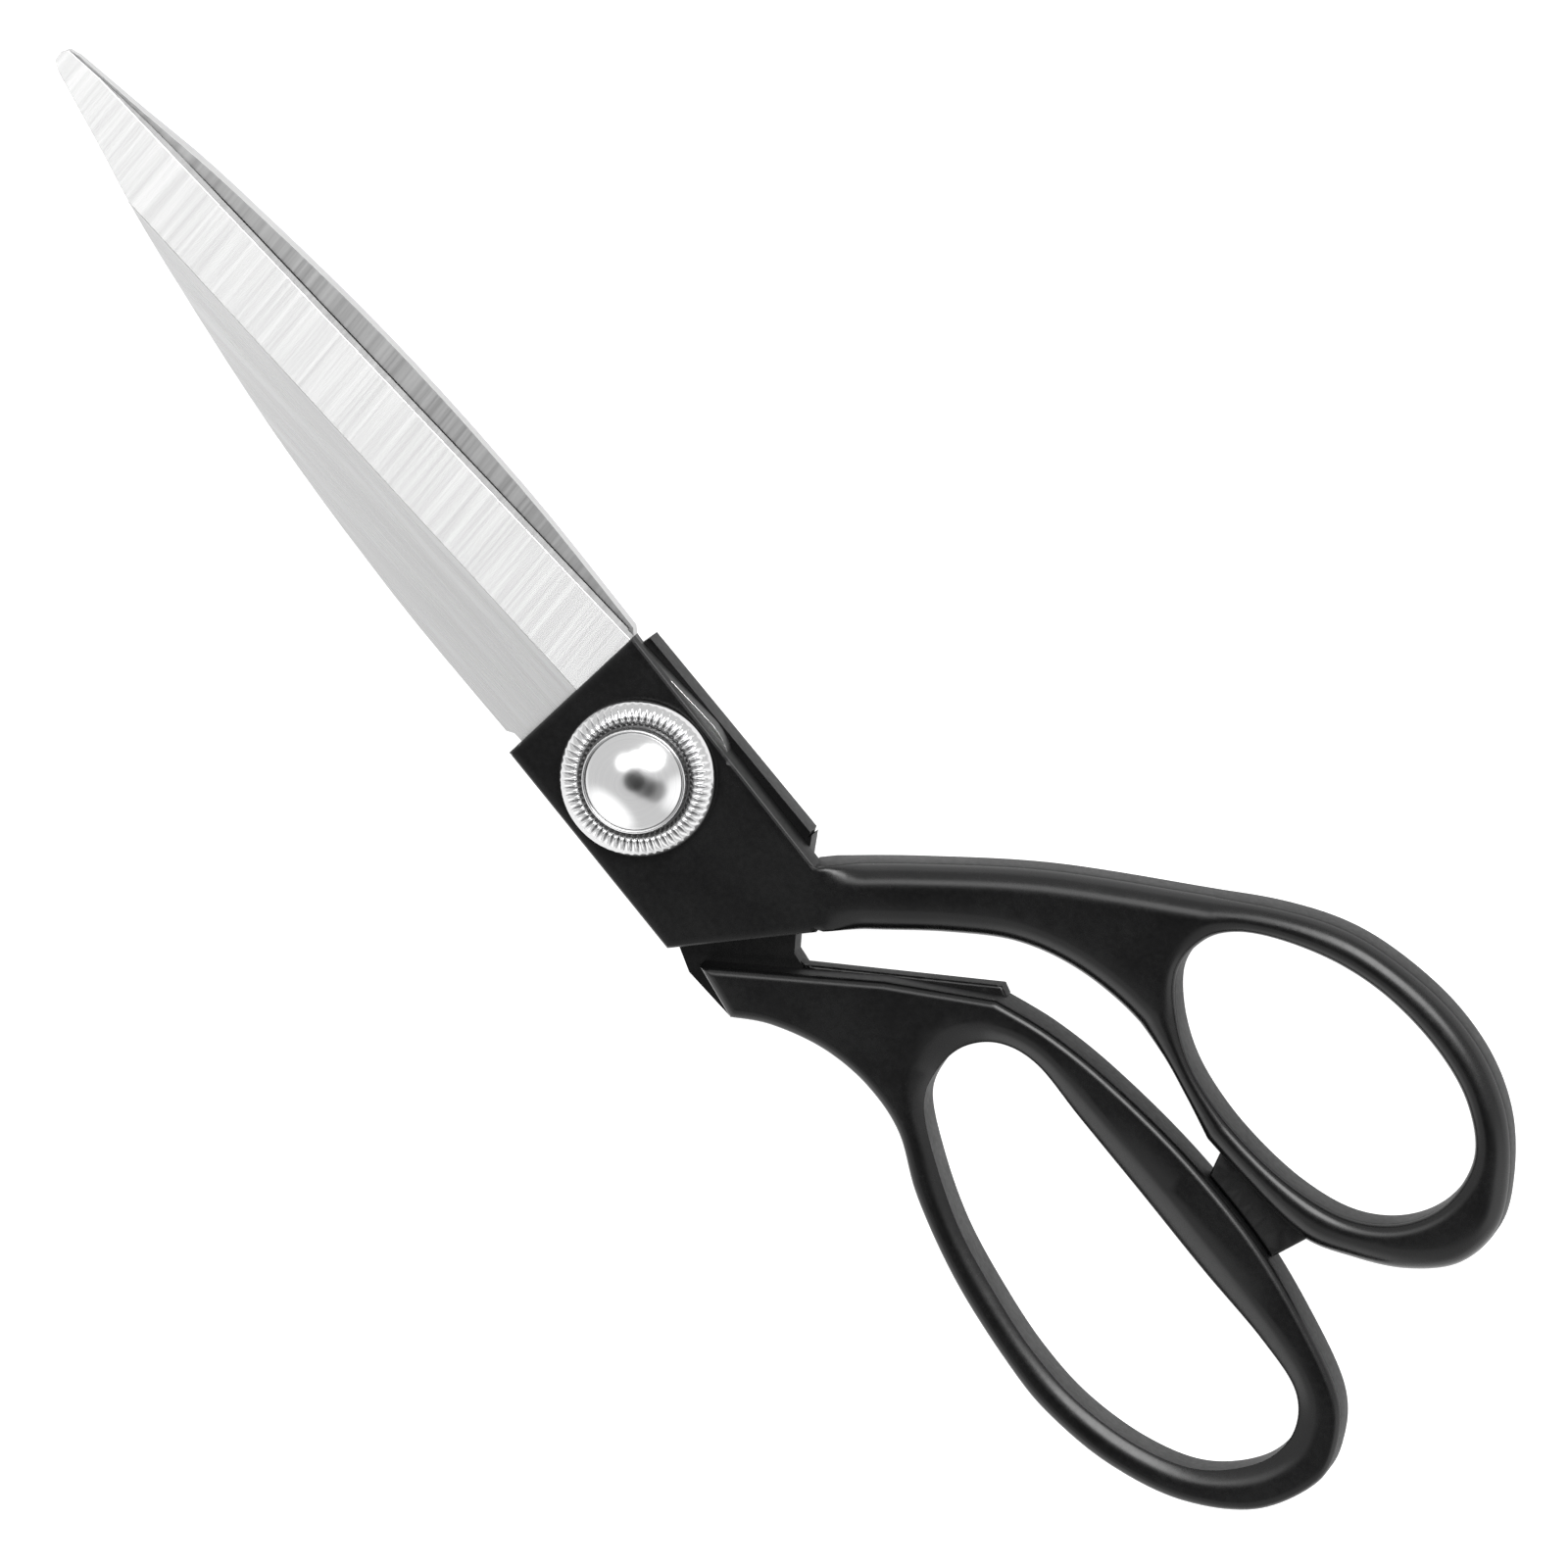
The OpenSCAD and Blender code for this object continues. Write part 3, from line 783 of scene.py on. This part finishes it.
# The edge, spine, inner, bevel and wall steels are lighter and darker copies of one steel, painted
# light and shade; their brush lines and roughness follow the grinding
edge_steel = ground_steel("ground_edge", 0.48, 0.54, 97, (0.2, 0.22), 0.01, 0.97)
spine_steel = ground_steel("ground_spine", 0.84, 0.94, -2, (0.22, 0.32), 0.3, 0.74)
inner_steel = ground_steel("ground_inner", 0.34, 0.46, 97, (0.5, 0.62), 0.1, 0.72)
tang_steel = ground_steel("ground_tang", 0.05, 0.07, -2, (0.45, 0.55), 0.3)
bevel_steel = ground_steel("ground_bevel", 0.1, 0.13, 97, (0.35, 0.45), 0.3)
wall_steel = ground_steel("ground_wall", 0.38, 0.44, -2, (0.3, 0.4), 0.3)
# Near-black steel for the painted shadow in the gap along the cutting edge
edge_gap_shadow_steel = ground_steel("painted_edge_gap_shadow", 0.008, 0.012, 97, (0.5, 0.6), 0.1)
BLADE_STEELS = (edge_steel, spine_steel, inner_steel, tang_steel, bevel_steel, wall_steel,
                edge_gap_shadow_steel)
# A face's place in BLADE_STEELS
EDGE, SPINE, INNER, TANG, BEVEL, WALL, GAP_SHADOW = range(7)
# Faces are told apart by their normals, in the blade's own frame
CASTING_WALL_Z = 0.25
BLADE_WALL_Z = 0.3
BEVEL_Y = -0.45
EDGE_Y = -0.1
# Height of the painted shadow's strip along the cutting edge, in millimetres
GAP_SHADOW_H = 0.14
EASED_W = 0.00006

thumb_casting = make_thumb_handle()
finger_casting = make_finger_handle()
finish_piece(thumb_casting, black, "thumb_half", "thumb_handle")
finish_piece(finger_casting, black, "finger_half", "finger_handle")
for casting in (thumb_casting, finger_casting):
    # The side walls are duller than the faces
    casting.data.materials.append(wall_black)
    for face in casting.data.polygons:
        if abs(face.normal.z) < CASTING_WALL_Z:
            face.material_index = 1
serrated_nut = make_nut()
finish_piece(serrated_nut, nut_steel, "nut", "tension_nut")
# Painted shade: the seat around the dome gets a darker copy of the nut's steel, standing in for the
# shade in that recess
serrated_nut.data.materials.append(nut_seat_shade_steel)
for face in serrated_nut.data.polygons:
    if face.center.xy.length < SEAT_SHADE_R * MM:
        face.material_index = 1
finish_piece(make_dome(), polished, "nut", "dome_cap")


def make_blade(node, body, to_world):
    """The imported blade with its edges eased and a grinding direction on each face."""
    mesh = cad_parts[node].data.copy()
    mesh.name = node + "_ground"
    mesh.materials.clear()
    for material in BLADE_STEELS:
        mesh.materials.append(material)
    work = bmesh.new()
    work.from_mesh(mesh)
    bmesh.ops.remove_doubles(work, verts=work.verts, dist=1e-7)
    into_own = to_world.inverted()
    bmesh.ops.dissolve_limit(work, angle_limit=math.radians(0.6), verts=work.verts,
                             edges=work.edges, delimit=set())
    # A painted shadow: a fine dark line along the cutting edge stands in for the shade in the gap
    # between the blades
    bmesh.ops.bisect_plane(work, geom=work.verts[:] + work.edges[:] + work.faces[:],
                           plane_co=to_world @ Vector((0, 0, GAP_SHADOW_H * MM)),
                           plane_no=to_world.to_3x3() @ Vector((0, 0, 1)))
    for face in work.faces:
        normal = into_own.to_3x3() @ face.normal
        centre = into_own @ face.calc_center_median()
        face.smooth = False
        if centre.x < SHANK[0][0] * MM and abs(normal.z) < BLADE_WALL_Z:
            # The tang's walls are darker than the blade's
            steel = TANG
        # Painted shadow: the bevel's lowest strip, under the cut, is near black
        elif normal.y < BEVEL_Y and 0 < centre.z < GAP_SHADOW_H * MM:
            steel = GAP_SHADOW
        elif abs(normal.z) < BLADE_WALL_Z:
            steel = WALL
        elif normal.z > 0:
            # By how far they lean, which picks a lighter or darker copy of the steel: painted light
            # and shade
            steel = BEVEL if normal.y < BEVEL_Y else EDGE if normal.y < EDGE_Y else SPINE
        else:
            steel = INNER
        face.material_index = steel
    work.to_mesh(mesh)
    work.free()
    made = bpy.data.objects.new(node + "_ground", mesh)
    bpy.context.scene.collection.objects.link(made)
    ease = made.modifiers.new("eased_edges", "BEVEL")
    ease.width = EASED_W
    ease.segments = 2
    ease.limit_method = "ANGLE"
    ease.angle_limit = math.radians(12)
    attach(made, body)
    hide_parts(node)


def in_metres(matrix):
    """The same placing for coordinates in metres."""
    return Matrix.Translation(matrix.translation * MM) @ matrix.to_3x3().to_4x4()


make_blade("thumb_blade", "thumb_half", in_metres(Matrix.Translation((0, 0, upper_z))))
make_blade("finger_blade", "finger_half", in_metres(in_lower_half()))

for node, material in (("pivot_bolt", turned), ("pivot_bush", bronze), ("ride_washer", bronze),
                       ("thrust_washer", turned), ("spring_washer", turned)):
    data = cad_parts[node].data
    data.materials.clear()
    data.materials.append(material)

# ---- Studio ------------------------------------------------------------------------------------

FLOOR_SIZE = 6.0
FLOOR_GAP = 0.0002
floor_mesh = bpy.data.meshes.new("floor")
half_floor = FLOOR_SIZE / 2
floor_mesh.from_pydata([(-half_floor, -half_floor, 0), (half_floor, -half_floor, 0),
                        (half_floor, half_floor, 0), (-half_floor, half_floor, 0)], [],
                       [(0, 1, 2, 3)])
floor = bpy.data.objects.new("floor", floor_mesh)
bpy.context.scene.collection.objects.link(floor)
floor.location.z = cad_low.z - FLOOR_GAP
paper = Nodes("pale_paper")
floor_mesh.materials.append(paper.set(
    Base_Color=paper.grey(paper.noise(paper.place(), PAPER_TONE), 0.3, 0.34), Roughness=0.9,
    Emission_Color=(1, 1, 1, 1), Emission_Strength=0.95))


def toward(azimuth, elevation):
    """Direction at an azimuth (0 on the -Y side, 90 on the +X side) and elevation, in degrees."""
    a, e = math.radians(azimuth), math.radians(elevation)
    return Vector((math.sin(a) * math.cos(e), -math.cos(a) * math.cos(e), math.sin(e)))


# A white tent with soft panels that add light and dark flags that take away a share of it. Each
# is (azimuth, elevation, inner angle, outer angle, strength), in degrees and shares of the tent.
TENT = 1.0
PANELS = [(12, 48, 12, 20, 11.0), (50, 58, 8, 15, 3.0), (87, 57, 9, 17, 1.6),
          (-70, 18, 5, 34, 0.8), (185, 12, 6, 38, 1.3)]
FLAGS = [(180, 85, 12, 21, -0.92), (-90, 72, 11, 22, -0.7), (-80, 54, 11, 22, -0.6)]
world = bpy.data.worlds.new("studio")
world.use_nodes = True
tree = world.node_tree


def patch(azimuth, elevation, inner, outer, strength):
    """Strength inside the inner angle around a direction, fading to 0 at the outer angle."""
    facing = add_node(tree, "ShaderNodeVectorMath", {0: way, 1: toward(azimuth, elevation)},
                      operation="DOT_PRODUCT").outputs["Value"]
    return add_node(tree, "ShaderNodeMapRange", {
        "Value": facing, "From Min": math.cos(math.radians(outer)),
        "From Max": math.cos(math.radians(inner)), "To Min": 0, "To Max": strength,
    }, interpolation_type="SMOOTHSTEP").outputs[0]


way = tree.nodes.new("ShaderNodeTexCoord").outputs["Generated"]
total = TENT
for panel in PANELS:
    total = add_node(tree, "ShaderNodeMath", {0: patch(*panel), 1: total}).outputs[0]
for flag in FLAGS:
    kept = add_node(tree, "ShaderNodeMath", {0: patch(*flag), 1: 1.0}).outputs[0]
    total = add_node(tree, "ShaderNodeMath", {0: total, 1: kept}, operation="MULTIPLY").outputs[0]
tree.links.new(total, tree.nodes["Background"].inputs["Strength"])
tree.nodes["Background"].inputs["Color"].default_value = (1, 1, 1, 1)
bpy.context.scene.world = world

# Camera: tilted from straight above towards the thumb ring, rolled so that the tips point to the
# upper left
VIEW_TILT = math.radians(15)
VIEW_ROLL = math.radians(133.4)
FRAME_WIDTH = 0.208
CAMERA_DISTANCE = 2.4
SENSOR = 36
AIM = Vector((-0.0139, -0.0124, mid_z * MM))
back = Vector((0, -math.sin(VIEW_TILT), math.cos(VIEW_TILT)))
side = Vector((0, -math.cos(VIEW_TILT), -math.sin(VIEW_TILT)))
along = Vector((1, 0, 0))
right = along * math.cos(VIEW_ROLL) + side * math.sin(VIEW_ROLL)
up = back.cross(right)
camera_data = bpy.data.cameras.new("camera")
camera_data.sensor_width = SENSOR
camera_data.lens = SENSOR * CAMERA_DISTANCE / FRAME_WIDTH
camera_data.clip_start, camera_data.clip_end = 0.1, 20
camera = bpy.data.objects.new("camera", camera_data)
bpy.context.scene.collection.objects.link(camera)
facing_object = Matrix((right, up, back)).transposed().to_4x4()
camera.matrix_world = Matrix.Translation(AIM + back * CAMERA_DISTANCE) @ facing_object
bpy.context.scene.camera = camera
bpy.context.scene.view_settings.view_transform = "Standard"
